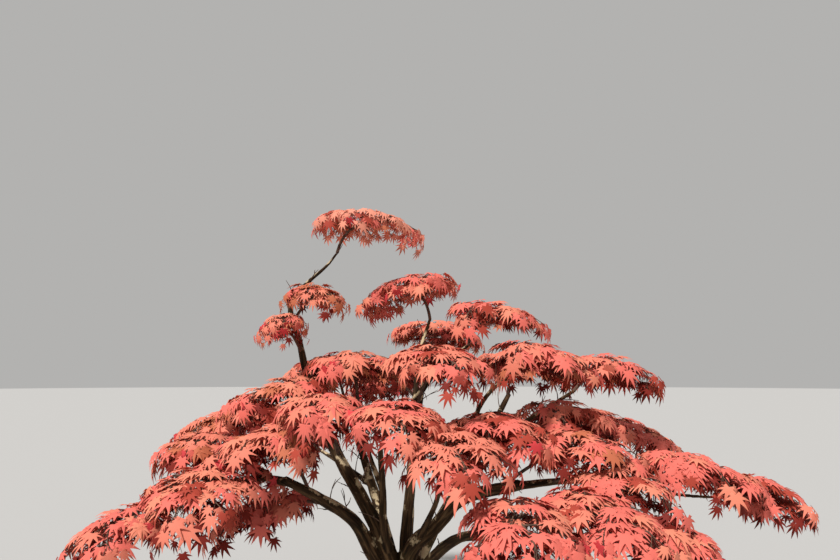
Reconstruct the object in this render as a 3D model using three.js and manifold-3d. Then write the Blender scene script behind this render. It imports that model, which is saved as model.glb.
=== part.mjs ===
// A low, broad Japanese maple in autumn colour. It forks half a metre above the ground into boughs that
// carry flat, drooping tiers of foliage. Millimetres, +Z up, the origin in the middle of the flat cut at
// ground level, +X to the right and +Y to the back.
import * as THREE from 'three';
import { mergeVertices } from 'three/addons/utils/BufferGeometryUtils.js';
import Module from 'manifold-3d';

const wasm = await Module();
wasm.setup();
const { Manifold, Mesh } = wasm;

// Trunk
const trunkHeight = 560;
const trunkRadius = 112;
const trunkTopRadius = 86;
const trunkLean = 14;
const rootFlare = 62;
const flareHeight = 85;
const flareRibs = 5;
const ribDepth = 0.34;
const ribTurn = 0.6;
const crotchDome = 90;
const domeRounding = 0.72;
const trunkSides = 15;
const trunkSteps = 7;
const footDetail = 1.35;

// Limbs and the clearances between neighbours
const clearance = 0.4;
const growingRoom = 1;
const limbStepLength = 255;
const stoutRadius = 22;
const stoutSides = 6;
const slimSides = 5;
const fewestSteps = 3;

// Foliage: the sheet that a mass spreads over, in shares of its half length
const breadth = 0.84;
const crownRise = 0.23;
const crownFall = 0.14;
const rimReach = 0.66;
const largeMass = 305;

// The stem of a mass, in millimetres and in shares of the half length
const stemSides = 3;
const stemStartRadius = 9;
const stemEndRadius = 3.4;
const stemArch = 0.12;
const stemRiseAlong = -0.2;
const stemRiseShare = 0.6;
const stemCrestAlong = 0.1;
const largeStemSteps = 4;
const smallStemSteps = 3;
const trimRounds = 14;

// The twigs: the angles of their fan in degrees, where it starts and ends, and how far it strays
const twigStartRadius = 4.2;
const twigEndRadius = 2.6;
const largeFan = [128, 86, 44];
const smallFan = [116, 56];
const fanStart = 0.6;
const fanEnd = 0.88;
const lowestStart = 0.2;
const startStep = 0.02;
const fanStray = 18;
const reachRange = [0.9, 1.06];
const liftStray = 30;

// The leaves, each of which stands for a spray: shares of the half length, millimetres and degrees
const leafReach = 0.5;
const leafThickness = 9;
const leafSink = 3;
const leafSizes = [1, 0.86, 0.72, 0.6];
const sizeRange = [0.92, 1.08];
const turnStray = 50;
const rimPitch = 46;
const tipSize = 1.06;
const innerPlace = 0.34;
const innerPitch = 6;
const innerSize = 1.12;
const innerLift = 62;
const innerStray = 60;
const finestDetail = 3;

const up = new THREE.Vector3(0, 0, 1);
const degrees = Math.PI / 180;

// The limbs, each from a fraction of its parent's length, through the points given, with a taper
const limbs = [
  ['bough_low_left', 'trunk', 0.8, 46, 21,
    [[-150, -20, 713], [-235, -80, 875], [-400, -190, 1010], [-560, -250, 1105]]],
  ['leader_lower', 'trunk', 0.84, 46, 25,
    [[-72, 0, 713], [-210, 0, 980], [-325, 20, 1165], [-500, 60, 1500]]],
  ['bough_right', 'trunk', 0.86, 47, 26,
    [[48, -60, 742], [165, -90, 855], [290, -175, 1000], [560, -300, 1090]]],
  ['bough_middle', 'trunk', 0.9, 33, 20, [[14, 30, 745], [42, 50, 1060], [60, 0, 1480]]],
  ['bough_front_low', 'trunk', 0.78, 36, 16, [[125, -90, 670], [240, -320, 840], [420, -700, 980]]],
  ['bough_back_left', 'trunk', 0.8, 38, 16, [[-70, 130, 700], [-250, 480, 1150], [-400, 750, 1470]]],
  ['bough_back_middle', 'trunk', 0.84, 38, 15, [[20, 150, 740], [60, 600, 1230], [130, 950, 1650]]],
  ['bough_back_right', 'trunk', 0.8, 38, 16, [[110, 130, 690], [430, 520, 1130], [660, 780, 1480]]],
  ['bough_front_middle', 'leader_lower', 0.2, 25, 14,
    [[-90, -80, 850], [-95, -120, 1020], [-95, -340, 1260]]],
  ['bough_left_middle', 'bough_front_middle', 0.55, 15, 10, [[-170, -60, 1210], [-240, 30, 1470]]],
  ['bough_low_left_outer', 'bough_low_left', 0.97, 19, 8,
    [[-680, -230, 1110], [-980, -235, 1040], [-1130, -270, 975]]],
  ['leader_middle', 'leader_lower', 0.98, 22, 15,
    [[-570, 100, 1790], [-628, 140, 1960], [-605, 165, 2055]]],
  ['leader_top', 'leader_middle', 0.98, 13.5, 8,
    [[-530, 180, 2128], [-440, 190, 2212], [-378, 200, 2295]]],
  ['bough_middle_back', 'bough_middle', 0.94, 17, 10, [[95, 170, 1740], [150, 285, 1925]]],
  ['bough_middle_right', 'bough_middle', 0.98, 16, 10, [[180, 10, 1620], [350, 10, 1760]]],
  ['bough_front_right', 'bough_right', 0.34, 18, 10, [[170, -290, 1020], [170, -520, 1150]]],
  ['bough_right_rising', 'bough_right', 0.5, 26, 18, [[330, -150, 1110], [360, -150, 1240]]],
  ['bough_right_upper', 'bough_right_rising', 0.97, 16, 10,
    [[375, -140, 1410], [460, -110, 1530], [550, -100, 1590]]],
  ['bough_right_high', 'bough_right_rising', 0.8, 16, 10,
    [[540, -60, 1310], [690, 0, 1390], [930, 110, 1520]]],
  ['bough_right_outer', 'bough_right', 0.97, 20, 12, [[840, -210, 1095], [1150, -130, 1060]]],
  ['bough_right_tip', 'bough_right_outer', 0.98, 11, 8, [[1400, -40, 1000], [1690, 60, 965]]],
  ['bough_front_low_right', 'bough_front_low', 0.66, 15, 9, [[560, -620, 920], [900, -640, 895]]],
  ['bough_back_left_low', 'bough_back_left', 0.5, 17, 10, [[-450, 600, 1110], [-620, 800, 1170]]],
  ['bough_back_right_low', 'bough_back_right', 0.5, 17, 10, [[560, 650, 1110], [760, 850, 1160]]],
];

// The foliage, each mass on a fraction of its limb's length, with the middle of its sheet, its half
// length, and how far its outer end lies below the middle
const masses = [
  ['foliage_cap', 'leader_top', 0.98, [-250, 200, 2405], 365, 20],
  ['foliage_leader_right', 'leader_middle', 0.7, [-475, 20, 2005], 165, 25],
  ['foliage_leader_left', 'leader_middle', 0.4, [-628, -40, 1855], 108, 25],
  ['foliage_top_middle', 'bough_middle_back', 0.98, [50, 310, 2050], 335, 72],
  ['foliage_top_right', 'bough_middle_right', 0.98, [475, 0, 1878], 295, 40],
  ['foliage_upper_middle', 'bough_middle', 0.88, [172, -300, 1628], 304, 40],
  ['foliage_upper_right', 'bough_right_upper', 0.98, [690, -110, 1650], 305, 60],
  ['foliage_far_right_high', 'bough_right_high', 0.98, [1170, 200, 1590], 285, 70],
  ['foliage_upper_left', 'bough_left_middle', 0.98, [-290, 100, 1610], 320, 20],
  ['foliage_left_high', 'leader_lower', 0.86, [-640, 0, 1470], 300, 60],
  ['foliage_left_front', 'leader_lower', 0.68, [-360, -450, 1420], 250, 20],
  ['foliage_left_middle', 'bough_low_left', 0.85, [-620, -280, 1250], 300, 60],
  ['foliage_left_far', 'bough_low_left_outer', 0.24, [-1040, 0, 1190], 290, 50],
  ['foliage_front_middle', 'bough_front_middle', 0.98, [-20, -650, 1380], 285, 40],
  ['foliage_front_centre', 'bough_front_right', 0.98, [215, -770, 1260], 290, 50],
  ['foliage_front_right', 'bough_right_rising', 0.6, [450, -380, 1310], 300, 30],
  ['foliage_right_middle', 'bough_right_high', 0.45, [900, 150, 1340], 325, 60],
  ['foliage_right_lower', 'bough_right', 0.9, [840, -370, 1230], 300, 40],
  ['foliage_right_outer', 'bough_right_outer', 0.98, [1480, -110, 1080], 350, 90],
  ['foliage_right_tip', 'bough_right_tip', 0.98, [1890, 95, 955], 270, 90],
  ['foliage_low_left', 'bough_low_left_outer', 0.5, [-870, -420, 1060], 350, 90],
  ['foliage_low_left_tip', 'bough_low_left_outer', 0.98, [-1250, -350, 895], 270, 90],
  ['foliage_hanging_left', 'bough_low_left', 0.7, [-690, -20, 890], 280, 80],
  ['foliage_low_front', 'bough_front_low', 0.98, [450, -1000, 1030], 255, 50],
  ['foliage_low_right_front', 'bough_front_low_right', 0.62, [790, -820, 1020], 290, 60],
  ['foliage_low_right_tip', 'bough_front_low_right', 0.98, [1120, -620, 905], 225, 60],
  ['foliage_right_front', 'bough_right_outer', 0.3, [970, -510, 1090], 280, 60],
  ['foliage_back_left_high', 'bough_back_left', 0.98, [-500, 850, 1590], 370, 50],
  ['foliage_back_left', 'bough_back_left_low', 0.75, [-1000, 560, 1290], 390, 80],
  ['foliage_back_left_low', 'bough_back_left_low', 0.98, [-790, 1200, 1120], 380, 90],
  ['foliage_back_top', 'bough_back_middle', 0.98, [200, 1080, 1830], 380, 50],
  ['foliage_back_middle', 'bough_back_middle', 0.8, [-150, 1370, 1520], 370, 80],
  ['foliage_back_right_high', 'bough_back_right', 0.98, [740, 820, 1610], 390, 60],
  ['foliage_back_right', 'bough_back_right_low', 0.75, [1270, 660, 1230], 410, 90],
  ['foliage_back_right_low', 'bough_back_right_low', 0.98, [600, 1330, 1190], 380, 90],
];

// Numbers from 0 to 1, the same on every run
function seeded(seed) {
  let state = Math.imul(seed + 11, 2654435761) >>> 0;
  return () => {
    state = (Math.imul(state, 1664525) + 1013904223) >>> 0;
    return state / 4294967296;
  };
}

function mix(from, to, share) {
  return from + (to - from) * share;
}

function solidOf(geometry) {
  const bare = geometry.clone();
  bare.deleteAttribute('normal');
  bare.deleteAttribute('uv');
  const merged = mergeVertices(bare, 1e-4);
  return new Manifold(new Mesh({
    numProp: 3,
    vertProperties: Float32Array.from(merged.attributes.position.array),
    triVerts: Uint32Array.from(merged.index.array),
  }));
}

function largestOf(solid) {
  return solid.decompose().sort((a, b) => b.volume() - a.volume())[0];
}

// Moves every point of a geometry, keeping its faces
function reshape(geometry, place) {
  const position = geometry.attributes.position;
  const point = new THREE.Vector3();
  for (let i = 0; i < position.count; i += 1) {
    point.fromBufferAttribute(position, i);
    place(point);
    position.setXYZ(i, point.x, point.y, point.z);
  }
  return geometry;
}

// A round limb along a curve, tapering from one radius to the other
function limbSolid(curve, startRadius, endRadius, sides, steps, extra = 0) {
  const frames = curve.computeFrenetFrames(steps, false);
  const geometry = new THREE.CylinderGeometry(1, 1, 1, sides, steps);
  return solidOf(reshape(geometry, (point) => {
    const step = Math.round((point.y + 0.5) * steps);
    const share = step / steps;
    const radius = mix(startRadius, endRadius, share) + extra;
    const tangent = frames.tangents[step];
    const endShift = share === 1 ? extra : 0;
    const { x, z } = point;
    curve.getPointAt(share, point);
    point.addScaledVector(frames.normals[step], x * radius);
    point.addScaledVector(frames.binormals[step], -z * radius);
    point.addScaledVector(tangent, endShift);
  }));
}

// The trunk stands on its flat cut, flares into ribs at the foot and rounds off in the crotch
function trunkAxis() {
  return new THREE.LineCurve3(new THREE.Vector3(), new THREE.Vector3(trunkLean, 0, trunkHeight));
}

function trunkSolid(extra = 0) {
  const geometry = new THREE.CylinderGeometry(1, 1, 1, trunkSides, trunkSteps);
  return solidOf(reshape(geometry, (point) => {
    const share = Math.pow(point.y + 0.5, footDetail);
    const height = share * trunkHeight;
    const around = Math.atan2(-point.z, point.x);
    const flare = rootFlare * Math.exp(-height / flareHeight);
    const rib = 1 + ribDepth * Math.cos(flareRibs * around + ribTurn);
    const overDome = Math.max(0, (height - trunkHeight + crotchDome) / crotchDome);
    const domed = Math.sqrt(1 - domeRounding * overDome * overDome);
    const radius = (mix(trunkRadius, trunkTopRadius, share) + flare * rib) * domed + extra;
    const distance = Math.hypot(point.x, point.z) * radius;
    const lift = share === 1 ? extra : 0;
    point.set(
      trunkLean * share + distance * Math.cos(around),
      distance * Math.sin(around),
      height + lift,
    );
  }));
}

// A tapering twig of three sides between two points
function twigSolid(start, end, startRadius, endRadius) {
  return limbSolid(new THREE.LineCurve3(start, end), startRadius, endRadius, 3, 1);
}

// A leaf of five lobes, flat below and raised to a point in the middle, sharp at its rim: a low sphere of
// ten meridians pulled out to the tips and in to the notches between them
const leafOutline = [[0, 1], [25, 0.42], [52, 0.9], [80, 0.36], [112, 0.62], [180, 0.2]];

function leafSolid(centre, direction, normal, radius) {
  const side = new THREE.Vector3().crossVectors(normal, direction).normalize();
  const meridians = 2 * (leafOutline.length - 1);
  const geometry = new THREE.SphereGeometry(1, meridians, 2);
  return solidOf(reshape(geometry, (point) => {
    const pole = Math.round(point.y);
    if (pole !== 0) {
      point.copy(centre).addScaledVector(normal, pole > 0 ? leafThickness - leafSink : -leafSink);
      return;
    }
    const turn = Math.atan2(-point.z, point.x);
    const index = Math.round(Math.abs(turn) / (2 * Math.PI / meridians));
    const [angle, share] = leafOutline[index];
    const around = Math.sign(turn) * angle * degrees;
    point.copy(centre);
    point.addScaledVector(normal, -leafSink);
    point.addScaledVector(direction, share * radius * Math.cos(around));
    point.addScaledVector(side, share * radius * Math.sin(around));
  }));
}

// What later pieces are kept clear of
const placed = [];

function boxesMeet(a, b, room) {
  return [0, 1, 2].every((axis) => a.min[axis] - room < b.max[axis] && b.min[axis] - room < a.max[axis]);
}

function isClear(solid, owner) {
  const box = solid.boundingBox();
  return placed.every((other) => other.owner === owner
    || !boxesMeet(box, other.box, growingRoom)
    || solid.minGap(other.solid, growingRoom) >= growingRoom);
}

function place(solid, owner) {
  placed.push({ solid, owner, box: solid.boundingBox() });
}

// The trunk first, then each limb, cut clear of all that came before it
const curves = new Map([['trunk', trunkAxis()]]);
const guards = [trunkSolid(clearance)];
const solids = new Map([['trunk', trunkSolid()]]);
place(solids.get('trunk'), 'trunk');

function cutClear(solid) {
  const box = solid.boundingBox();
  let rest = solid;
  for (const guard of guards) {
    if (boxesMeet(box, guard.boundingBox(), 0)) rest = rest.subtract(guard);
  }
  return rest;
}

for (const [name, parent, share, startRadius, endRadius, points] of limbs) {
  const start = curves.get(parent).getPointAt(share);
  const curve = new THREE.CatmullRomCurve3([start, ...points.map((p) => new THREE.Vector3(...p))]);
  const steps = Math.max(fewestSteps, Math.round(curve.getLength() / limbStepLength));
  const sides = startRadius > stoutRadius ? stoutSides : slimSides;
  const whole = limbSolid(curve, startRadius, endRadius, sides, steps);
  const solid = largestOf(cutClear(whole));
  curves.set(name, curve);
  solids.set(name, solid);
  guards.push(limbSolid(curve, startRadius, endRadius, sides, steps, clearance));
  place(solid, name);
}

// The part of a stem's curve that starts just clear of its limb and of every other
function beyondLimbs(curve) {
  const whole = [curve.v0, curve.v1, curve.v2, curve.v3];
  const after = (t) => {
    const [a, b, c] = [0, 1, 2].map((i) => whole[i].clone().lerp(whole[i + 1], t));
    const [d, e] = [a.clone().lerp(b, t), b.clone().lerp(c, t)];
    return new THREE.CubicBezierCurve3(d.clone().lerp(e, t), e, c, curve.v3);
  };
  let [near, far] = [0, 0.5];
  for (let round = 0; round < trimRounds; round += 1) {
    const t = (near + far) / 2;
    const foot = limbSolid(after(t), stemStartRadius, stemEndRadius, stemSides, smallStemSteps);
    if (placed.every((limb) => foot.minGap(limb.solid, growingRoom) > clearance)) far = t;
    else near = t;
  }
  return after(far);
}

// A mass of foliage is a domed sheet, an ellipse seen from above. Its stem rises from the limb and runs
// out along the middle of the sheet, and pairs of twigs fan from it to places round the rim.
function layOut(name, limb, share, centre, halfLength, fall, seed) {
  const random = seeded(seed);
  const stray = (range) => range * (random() - 0.5);
  const foot = curves.get(limb).getPointAt(share);
  const middle = new THREE.Vector3(...centre);
  const heading = middle.clone().sub(foot).setZ(0).normalize();
  const across = new THREE.Vector3().crossVectors(up, heading);
  const halfWidth = halfLength * breadth;

  const sheet = (along, side, lift = 0) => {
    const dome = crownRise - crownFall * (along * along + side * side);
    const height = dome * halfLength - fall * along;
    return middle.clone()
      .addScaledVector(heading, along * halfLength)
      .addScaledVector(across, side * halfWidth)
      .addScaledVector(up, height + lift);
  };

  const arch = stemArch * halfLength;
  const rise = foot.clone().lerp(sheet(stemRiseAlong, 0), stemRiseShare).addScaledVector(up, arch);
  const crest = sheet(stemCrestAlong, 0, arch / 2);
  const stem = beyondLimbs(new THREE.CubicBezierCurve3(foot, rise, crest, sheet(rimReach, 0)));
  const stemSteps = halfLength > largeMass ? largeStemSteps : smallStemSteps;
  const joints = [];
  for (let step = 0; step <= stemSteps; step += 1) joints.push(stem.getPointAt(step / stemSteps));
  const onStem = (share) => {
    const step = Math.min(stemSteps - 1, Math.floor(share * stemSteps));
    return joints[step].clone().lerp(joints[step + 1], share * stemSteps - step);
  };
  let first = lowestStart;
  while (onStem(first).sub(middle).dot(heading) < -fanStart * halfLength) first += startStep;

  const twigs = [];
  for (const around of halfLength > largeMass ? largeFan : smallFan) {
    for (const hand of [-1, 1]) {
      const angle = hand * (around + stray(fanStray)) * degrees;
      const reach = rimReach * mix(...reachRange, random());
      const forward = (1 + Math.cos(angle)) / 2;
      const start = onStem(mix(first, fanEnd, forward));
      const end = sheet(reach * Math.cos(angle), reach * Math.sin(angle), stray(liftStray));
      const size = mix(...sizeRange, random());
      const turn = stray(turnStray) * degrees;
      twigs.push({ start, end, away: end.clone().sub(start), size, turn });
    }
  }
  const inner = onStem(mix(first, 1, innerPlace));
  const turn = stray(innerStray) * degrees;
  const radius = leafReach * halfLength;
  return { name, stem, stemSteps, twigs, inner, turn, heading, radius, leaves: [] };
}

// A leaf at the end of its twig, turned by an angle from the way the twig runs and pitched down
function leafAt(centre, away, turn, radius, pitch) {
  const level = away.clone().setZ(0).normalize().applyAxisAngle(up, turn);
  const drop = pitch * degrees;
  const direction = level.clone().multiplyScalar(Math.cos(drop)).addScaledVector(up, -Math.sin(drop));
  const normal = up.clone().addScaledVector(direction, -direction.z).normalize();
  return leafSolid(centre, direction, normal, radius);
}

const plans = masses.map((row, index) => layOut(...row, index));
const parts = new Map();

function grow(plan, solid) {
  if (!isClear(solid, plan.name)) return false;
  parts.get(plan.name).push(solid);
  place(solid, plan.name);
  return true;
}

for (const plan of plans) {
  parts.set(plan.name, []);
  const solid = limbSolid(plan.stem, stemStartRadius, stemEndRadius, stemSides, plan.stemSteps);
  parts.get(plan.name).push(solid);
  place(solid, plan.name);
}

for (const plan of plans) {
  for (const twig of plan.twigs) {
    const solid = twigSolid(twig.start, twig.end, twigStartRadius, twigEndRadius);
    twig.grown = grow(plan, solid);
  }
}

// A leaf that would cut another of its mass is made smaller, or skipped
function growLeaf(plan, centre, away, turn, size, pitch) {
  for (const shrink of leafSizes) {
    const leaf = leafAt(centre, away, turn, plan.radius * size * shrink, pitch);
    const free = plan.leaves.every((other) => leaf.minGap(other, growingRoom) > 0);
    if (free && grow(plan, leaf)) {
      plan.leaves.push(leaf);
      return true;
    }
  }
  return false;
}

for (const plan of plans) {
  growLeaf(plan, plan.stem.getPoint(1), plan.heading, 0, tipSize, rimPitch);
  const twigs = plan.twigs.filter((twig) => twig.grown);
  for (const twig of twigs.toReversed()) {
    growLeaf(plan, twig.end, twig.away, twig.turn, twig.size, rimPitch);
  }
  const top = plan.inner.clone().addScaledVector(up, innerLift);
  if (growLeaf(plan, top, plan.heading, plan.turn, innerSize, innerPitch)) {
    grow(plan, twigSolid(plan.inner, top, twigStartRadius, twigEndRadius));
  }
}

for (const plan of plans) {
  const whole = Manifold.union(parts.get(plan.name)).simplify(finestDetail);
  solids.set(plan.name, largestOf(whole));
}

// Bark, and the tints of the tiers from coral through pink red to orange
const barkLook = { color: 0x5a4a3a, roughness: 0.92, metalness: 0 };
const leafTints = [0xe0705c, 0xd85f55, 0xe8856a, 0xc9524c];
const leafRoughness = 0.7;

function meshOf(name, solid, look) {
  const { vertProperties, triVerts, numProp } = solid.getMesh();
  const geometry = new THREE.BufferGeometry();
  const positions = new Float32Array(vertProperties.length / numProp * 3);
  for (let i = 0; i < positions.length / 3; i += 1) {
    for (let axis = 0; axis < 3; axis += 1) positions[i * 3 + axis] = vertProperties[i * numProp + axis];
  }
  geometry.setAttribute('position', new THREE.BufferAttribute(positions, 3));
  geometry.setIndex(new THREE.BufferAttribute(Uint32Array.from(triVerts), 1));
  geometry.computeVertexNormals();
  const mesh = new THREE.Mesh(geometry, new THREE.MeshStandardMaterial(look));
  mesh.name = name;
  return mesh;
}

const group = new THREE.Group();
group.name = 'japanese_maple_tree';
for (const name of ['trunk', ...limbs.map((row) => row[0])]) {
  group.add(meshOf(name, solids.get(name), barkLook));
}
masses.forEach(([name], index) => {
  const color = leafTints[index % leafTints.length];
  group.add(meshOf(name, solids.get(name), { color, roughness: leafRoughness, metalness: 0 }));
});

export default group;
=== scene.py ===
# A low, wide Japanese maple in coral autumn leaf: bark over the trunk and limbs, then twigs and leaves
import math
import bmesh
import bpy
import numpy as np
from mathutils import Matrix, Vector, noise


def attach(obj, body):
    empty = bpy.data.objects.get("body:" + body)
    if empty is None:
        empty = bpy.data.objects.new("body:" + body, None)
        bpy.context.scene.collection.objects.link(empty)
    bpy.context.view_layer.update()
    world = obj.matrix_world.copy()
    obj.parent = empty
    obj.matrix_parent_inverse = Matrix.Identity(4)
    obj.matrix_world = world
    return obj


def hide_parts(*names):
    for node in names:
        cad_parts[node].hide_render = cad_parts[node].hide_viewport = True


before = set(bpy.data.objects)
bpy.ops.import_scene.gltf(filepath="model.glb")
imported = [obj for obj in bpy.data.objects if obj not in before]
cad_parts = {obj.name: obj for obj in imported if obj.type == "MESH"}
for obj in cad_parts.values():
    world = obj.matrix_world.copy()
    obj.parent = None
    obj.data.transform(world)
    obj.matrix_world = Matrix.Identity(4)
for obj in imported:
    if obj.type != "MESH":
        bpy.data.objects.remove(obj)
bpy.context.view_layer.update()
up = np.array([0.0, 0.0, 1.0])
flat = (1, 1, 0)
shortestVector = 1e-9
# The generator behind the solids, so that both draw the same numbers
generator = {"offset": 11, "scatter": 2654435761, "factor": 1664525, "step": 1013904223, "size": 2 ** 32}


# Numbers from 0 to 1, the same on every run
def seeded(seed):
    state = (seed + generator["offset"]) * generator["scatter"] % generator["size"]

    def draw():
        nonlocal state
        state = (state * generator["factor"] + generator["step"]) % generator["size"]
        return state / generator["size"]

    return draw


# A number drawn evenly around nought, over a span of the size given
def stray(draw, size):
    return size * (draw() - 0.5)


def mix(low, high, share):
    return low + (high - low) * share


# How far a value has come from low to high, from 0 to 1
def progress(value, low, high):
    return min(1, max(0, (value - low) / (high - low)))


# A rise from 0 to 1 that starts and ends level
def eased(share):
    return share * share * (3 - 2 * share)


def unit(vectors):
    vectors = np.asarray(vectors, float)
    return vectors / np.maximum(np.linalg.norm(vectors, axis=-1, keepdims=True), shortestVector)


def turned(vector, angle):
    c, s = math.cos(angle), math.sin(angle)
    return np.array([c * vector[0] - s * vector[1], s * vector[0] + c * vector[1], vector[2]])


# Two directions turned together in their own plane
def tipped(first, second, degrees):
    c, s = math.cos(math.radians(degrees)), math.sin(math.radians(degrees))
    return first * c - second * s, second * c + first * s


def newObject(name, data):
    made = bpy.data.objects.new(name, data)
    bpy.context.scene.collection.objects.link(made)
    return made


# Camera at the photo's eye height and tilt
view = {"place": (0.09, -3.5, 1.6), "pitch": 8.2, "focalPixels": 659, "frameWidth": 840, "sensor": 36}


def addCamera():
    data = bpy.data.cameras.new("camera")
    data.sensor_width = view["sensor"]
    data.lens = view["sensor"] * view["focalPixels"] / view["frameWidth"]
    camera = newObject("camera", data)
    camera.location = view["place"]
    camera.rotation_euler = (math.radians(90 + view["pitch"]), 0, 0)
    bpy.context.scene.camera = camera


addCamera()


# Materials
noiseRoughness = 0.6


def newMaterial(name, roughness, specular):
    material = bpy.data.materials.new(name)
    material.use_nodes = True
    nodes, links = material.node_tree.nodes, material.node_tree.links
    shader = nodes["Principled BSDF"]
    shader.inputs["Roughness"].default_value = roughness
    shader.inputs["Specular IOR Level"].default_value = specular
    return material, nodes, links, shader


def addRamp(nodes, stops):
    ramp = nodes.new("ShaderNodeValToRGB")
    while len(ramp.color_ramp.elements) < len(stops):
        ramp.color_ramp.elements.new(0.5)
    for element, (place, color) in zip(ramp.color_ramp.elements, stops):
        element.position = place
        element.color = (*color, 1)
    return ramp


def addNoise(nodes, links, vector, scale, detail):
    cloud = nodes.new("ShaderNodeTexNoise")
    cloud.inputs["Scale"].default_value = scale
    cloud.inputs["Detail"].default_value = detail
    cloud.inputs["Roughness"].default_value = noiseRoughness
    links.new(vector, cloud.inputs["Vector"])
    return cloud.outputs["Fac"]


# A mask that is bare below the first value and reaches its full cover at the second
def addCover(nodes, stops, cover):
    return addRamp(nodes, [(stops[0], (0, 0, 0)), (stops[1], (cover, cover, cover))])


def addBump(nodes, links, shader, height, strength, distance):
    bump = nodes.new("ShaderNodeBump")
    bump.inputs["Strength"].default_value = strength
    bump.inputs["Distance"].default_value = distance
    links.new(height, bump.inputs["Height"])
    links.new(bump.outputs["Normal"], shader.inputs["Normal"])


def addMath(nodes, links, operation, *values):
    step = nodes.new("ShaderNodeMath")
    step.operation = operation
    for socket, value in zip(step.inputs, values):
        if hasattr(value, "is_output"):
            links.new(value, socket)
        else:
            socket.default_value = value
    return step.outputs["Value"]


# A colour laid over what is below it, as far as the mask lets it through
def addOver(nodes, links, mask, below, color):
    blend = nodes.new("ShaderNodeMix")
    blend.data_type = "RGBA"
    links.new(mask, blend.inputs["Factor"])
    links.new(below, blend.inputs["A"])
    blend.inputs["B"].default_value = (*color, 1)
    return blend.outputs["Result"]


def objectPlace(nodes):
    return nodes.new("ShaderNodeTexCoord").outputs["Object"]


# Bark: streaks along the grain, pale spots of lichen and painted sunlight that favour the upper sides, and
# moss near the ground.
# Each noise has a scale and a detail.
bark = {
    "dark": (0.012, 0.007, 0.003),
    "brown": (0.042, 0.022, 0.010),
    "pale": (0.155, 0.09, 0.042),
    "streaks": (60, 60, 7),
    "streakNoise": (1, 5),
    "toneStops": (0.36, 0.5, 0.7),
    # Pale spots of lichen with painted sunlight: faces that point up get more of them
    "lichenAndSunlight": (0.58, 0.45, 0.27),
    "lichenAndSunlightNoise": (15, 6),
    "lichenAndSunlightStops": (0.61, 0.67),
    "lichenAndSunlightCover": 0.85,
    "sunlitUpperSide": 0.16,
    "moss": (0.058, 0.054, 0.016),
    "mossNoise": (5, 5),
    "mossStops": (0.52, 0.64),
    "mossCover": 0.5,
    "mossHeights": (1.15, 0.25),
    "furrowNoise": (2.2, 6),
    "furrowStrength": 0.55,
    "furrowDepth": 0.004,
    "roughness": 0.88,
    "specular": 0.14,
}


def barkMaterial():
    material, nodes, links, shader = newMaterial("bark", bark["roughness"], bark["specular"])
    grain = nodes.new("ShaderNodeAttribute")
    grain.attribute_name = "grain"
    stretch = nodes.new("ShaderNodeMapping")
    stretch.inputs["Scale"].default_value = bark["streaks"]
    links.new(grain.outputs["Vector"], stretch.inputs["Vector"])
    alongGrain = stretch.outputs["Vector"]
    place = objectPlace(nodes)
    tones = zip(bark["toneStops"], (bark["dark"], bark["brown"], bark["pale"]))
    tone = addRamp(nodes, list(tones))
    links.new(addNoise(nodes, links, alongGrain, *bark["streakNoise"]), tone.inputs["Fac"])
    lichenAndSunSpots = lichenAndSunlightMask(nodes, links, place)
    withLichenAndSunlight = addOver(nodes, links, lichenAndSunSpots, tone.outputs["Color"], bark["lichenAndSunlight"])
    color = addOver(nodes, links, mossMask(nodes, links, place), withLichenAndSunlight, bark["moss"])
    links.new(color, shader.inputs["Base Color"])
    furrows = addNoise(nodes, links, alongGrain, *bark["furrowNoise"])
    addBump(nodes, links, shader, furrows, bark["furrowStrength"], bark["furrowDepth"])
    return material


# Where the pale spots fall: lichen noise, raised on faces that point up as painted sunlight
def lichenAndSunlightMask(nodes, links, place):
    facing = nodes.new("ShaderNodeSeparateXYZ")
    links.new(nodes.new("ShaderNodeNewGeometry").outputs["Normal"], facing.inputs["Vector"])
    lichenAndSunSpots = addNoise(nodes, links, place, *bark["lichenAndSunlightNoise"])
    sunlitUpper = addMath(nodes, links, "MULTIPLY_ADD", facing.outputs["Z"], bark["sunlitUpperSide"], lichenAndSunSpots)
    mask = addCover(nodes, bark["lichenAndSunlightStops"], bark["lichenAndSunlightCover"])
    links.new(sunlitUpper, mask.inputs["Fac"])
    return mask.outputs["Color"]


def mossMask(nodes, links, place):
    damp = addCover(nodes, bark["mossStops"], bark["mossCover"])
    links.new(addNoise(nodes, links, place, *bark["mossNoise"]), damp.inputs["Fac"])
    height = nodes.new("ShaderNodeSeparateXYZ")
    links.new(place, height.inputs["Vector"])
    low = nodes.new("ShaderNodeMapRange")
    low.inputs["From Min"].default_value, low.inputs["From Max"].default_value = bark["mossHeights"]
    links.new(height.outputs["Z"], low.inputs["Value"])
    return addMath(nodes, links, "MULTIPLY", damp.outputs["Color"], low.outputs["Result"])


twigBark = {
    "dark": (0.05, 0.026, 0.018), "pale": (0.15, 0.085, 0.055), "toneStops": (0.35, 0.65),
    "mottling": (35, 4), "roughness": 0.8, "specular": 0.3,
}


def twigMaterial():
    material, nodes, links, shader = newMaterial("twigBark", twigBark["roughness"], twigBark["specular"])
    tone = addRamp(nodes, list(zip(twigBark["toneStops"], (twigBark["dark"], twigBark["pale"]))))
    mottling = addNoise(nodes, links, objectPlace(nodes), *twigBark["mottling"])
    links.new(mottling, tone.inputs["Fac"])
    links.new(tone.outputs["Color"], shader.inputs["Base Color"])
    return material


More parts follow.
